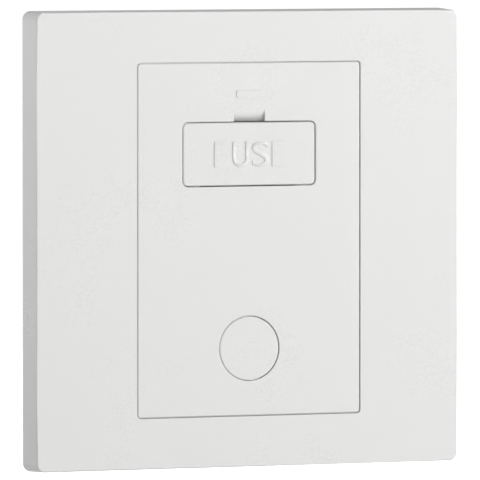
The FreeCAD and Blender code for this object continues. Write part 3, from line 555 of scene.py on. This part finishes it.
def skin_over(node, body, material):
    """A copy of a CAD node that stands for it, with whole flat faces, soft edges and smooth shading."""
    source = frame["nodes"][node]
    piece = bpy.data.objects.new(f"{node}_skin", source.data.copy())
    bpy.context.scene.collection.objects.link(piece)
    only(piece)
    set_mode("EDIT")
    merge_vertices()
    bpy.ops.mesh.dissolve_limited(angle_limit=math.radians(FLAT_ANGLE))
    set_mode("OBJECT")
    if node == "front_panel":
        gentle_notch(piece)
    if node in SIDE_STEPS:
        side_step(piece, node)
    if node in FRONT_RIMS:
        soft_rims(piece, node)
    if node in SOFT_EDGES:
        soft_edges(piece, node)
    smooth(piece, SKIN_ANGLE)
    finish(piece, f"{node}_skin", body, material)
    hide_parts(node)


def dress_nodes():
    """Gives every CAD node a skin in its own material."""
    bodies = frame["record"]["behaviour"]["bodies"]
    for material_name, nodes in NODES_IN.items():
        for node in nodes:
            body = next(name for name, members in bodies.items() if node in members)
            skin_over(node, body, MATERIALS[material_name])


# The raised word

# Each letter with its left edge, from the middle of the unit, and its width
LETTERS = [("F", -7.1, 2.8), ("U", -3.4, 3.2), ("S", 0.55, 3.4), ("E", 4.6, 2.8)]
# Where their lower edges lie, from the middle of the unit, and their height
LETTER_LOW = 13.55
LETTER_HEIGHT = 4.8
# How far their sides rise, and how far the rounded edge rises above that
LETTER_RISE = 0.08
LETTER_EDGE = 0.035
# The size of the type before it is fitted
TYPE_SIZE = 8.0


def raised_letter(letter, left, width):
    """A letter on the carrier's face. Its y becomes up, and its thickness runs towards the front."""
    deselect_all()
    bpy.ops.object.text_add(location=(0, 0, 0))
    text = bpy.context.object
    text.data.body = letter
    text.data.size = TYPE_SIZE * MM
    text.data.extrude = LETTER_RISE * MM
    text.data.bevel_depth = LETTER_EDGE * MM
    text.data.bevel_resolution = 1
    only(text)
    bpy.ops.object.convert(target="MESH")
    shape = bpy.context.object
    xs = [vertex.co.x for vertex in shape.data.vertices]
    ys = [vertex.co.y for vertex in shape.data.vertices]
    wider = width * MM / (max(xs) - min(xs))
    taller = LETTER_HEIGHT * MM / (max(ys) - min(ys))
    shape.data.transform(Matrix.Translation((-min(xs), -min(ys), 0)))
    shape.data.transform(Matrix.Diagonal((wider, taller, 1, 1)))
    shape.data.transform(Matrix.Rotation(math.radians(90), 4, "X"))
    shape.data.transform(Matrix.Translation((left * MM, FRONT, LETTER_LOW * MM)))
    return shape


def raised_word():
    """The raised word on the carrier's face, in the carrier's own material."""
    letters = [raised_letter(*letter) for letter in LETTERS]
    deselect_all()
    for letter in letters:
        letter.select_set(True)
    bpy.context.view_layer.objects.active = letters[0]
    bpy.ops.object.join()
    word = bpy.context.object
    only(word)
    set_mode("EDIT")
    merge_vertices()
    bpy.ops.mesh.normals_make_consistent(inside=False)
    set_mode("OBJECT")
    smooth(word, WORD_ANGLE)
    finish(word, "fuse_word", "fuse_carrier", MATERIALS["front_white"])


# The studio

# The camera, fitted to the part's edges in the photograph: how far it stands round to the left, how far it
# looks down, how far off it is, its focal length and frame in pixels, and the pixel of the part's middle
VIEW_TURN = math.radians(22.423)
VIEW_DROP = math.radians(2.65)
VIEW_DISTANCE = 1.626142
FOCAL_PIXELS = 8637.03
FRAME_PIXELS = 480
MIDDLE_PIXEL = (235.82, 237.62)
# The width of its sensor in millimetres, and how far it sees
SENSOR = 36.0
FARTHEST_SEEN = 200.0


def add_camera():
    """A camera at the photograph's viewing angle."""
    ahead = Vector(
        (
            math.sin(VIEW_TURN) * math.cos(VIEW_DROP),
            math.cos(VIEW_TURN) * math.cos(VIEW_DROP),
            -math.sin(VIEW_DROP),
        )
    )
    right = Vector((math.cos(VIEW_TURN), -math.sin(VIEW_TURN), 0))
    up = right.cross(ahead)
    pixel = VIEW_DISTANCE / FOCAL_PIXELS
    centre = FRAME_PIXELS / 2
    aim = right * (centre - MIDDLE_PIXEL[0]) * pixel - up * (centre - MIDDLE_PIXEL[1]) * pixel
    place = -ahead * VIEW_DISTANCE
    data = bpy.data.cameras.new("view")
    data.sensor_width = SENSOR
    data.lens = FOCAL_PIXELS / FRAME_PIXELS * SENSOR
    data.clip_end = FARTHEST_SEEN
    camera = bpy.data.objects.new("view", data)
    camera.location = place
    camera.rotation_euler = (aim - place).to_track_quat("-Z", "Y").to_euler()
    bpy.context.scene.collection.objects.link(camera)
    bpy.context.scene.camera = camera


# The floor's size and level, how far from its middle it starts to glow and glows most, and how strongly
FLOOR_SIZE = 60.0
FLOOR_LEVEL = -0.11
GLOW_START = 0.55
GLOW_END = 0.88
GLOW = 0.8


def pale_floor():
    """A plain floor that fades to white away from the part."""
    deselect_all()
    bpy.ops.mesh.primitive_plane_add(size=FLOOR_SIZE, location=(0, 0, FLOOR_LEVEL))
    floor = bpy.context.object
    floor.name = "floor"
    material = bpy.data.materials.new("floor_paint")
    material.use_nodes = True
    tree = Tree(material.node_tree)
    shader = tree.add("ShaderNodeBsdfPrincipled")
    shader.inputs["Base Color"].default_value = (0.9, 0.9, 0.9, 1)
    shader.inputs["Roughness"].default_value = 0.9
    shader.inputs["Emission Color"].default_value = (1, 1, 1, 1)
    away = tree.add("ShaderNodeVectorMath", operation="LENGTH")
    tree.join(tree.object_place(), away.inputs[0])
    glow = tree.span(away.outputs["Value"], GLOW_START, GLOW_END, 0.0, GLOW)
    tree.join(glow, shader.inputs["Emission Strength"])
    tree.join(shader.outputs["BSDF"], tree.add("ShaderNodeOutputMaterial").inputs["Surface"])
    floor.data.materials.append(material)


# Each soft light: its place, what it is aimed at, how wide and high it is, and its power in watts
LIGHTS = {
    "key": {"place": (1.3, -1.04, 0.36), "target": (0, 0, 0), "side": 0.78, "power": 22.8},
    "back": {"place": (0.9, 1.1, 0.14), "target": (0, 0, 0), "side": 0.4, "power": 7.0},
    "upper_left": {"place": (-0.19, 0.01, 0.18), "target": (-0.043, 0, 0), "side": 0.08, "power": 0.115},
}
# The world's strength as the camera sees it, and as it lights the part
SEEN_WORLD = 1.05
LIGHTING_WORLD = 0.4


def soft_light(name, place, target, side, power):
    """A square light that the camera doesn't see."""
    data = bpy.data.lights.new(name, "AREA")
    data.shape = "SQUARE"
    data.size = side
    data.energy = power
    light = bpy.data.objects.new(name, data)
    light.location = place
    light.rotation_euler = (Vector(target) - Vector(place)).to_track_quat("-Z", "Y").to_euler()
    light.visible_camera = False
    bpy.context.scene.collection.objects.link(light)


def add_world():
    """A world that is white to the camera and dimmer as a light."""
    world = bpy.data.worlds.new("studio")
    bpy.context.scene.world = world
    world.use_nodes = True
    tree = Tree(world.node_tree)
    seen = tree.add("ShaderNodeBackground")
    seen.inputs["Strength"].default_value = SEEN_WORLD
    lighting = tree.add("ShaderNodeBackground")
    lighting.inputs["Strength"].default_value = LIGHTING_WORLD
    mix = tree.add("ShaderNodeMixShader")
    tree.join(tree.add("ShaderNodeLightPath").outputs["Is Camera Ray"], mix.inputs["Fac"])
    tree.join(lighting.outputs["Background"], mix.inputs[1])
    tree.join(seen.outputs["Background"], mix.inputs[2])
    tree.join(mix.outputs["Shader"], tree.add("ShaderNodeOutputWorld").inputs["Surface"])


def add_light():
    """The world and the soft lights, with the colours shown plainly."""
    add_world()
    for name, light in LIGHTS.items():
        soft_light(name, **light)
    bpy.context.scene.view_settings.view_transform = "Standard"


dress_nodes()
raised_word()
add_camera()
pale_floor()
add_light()
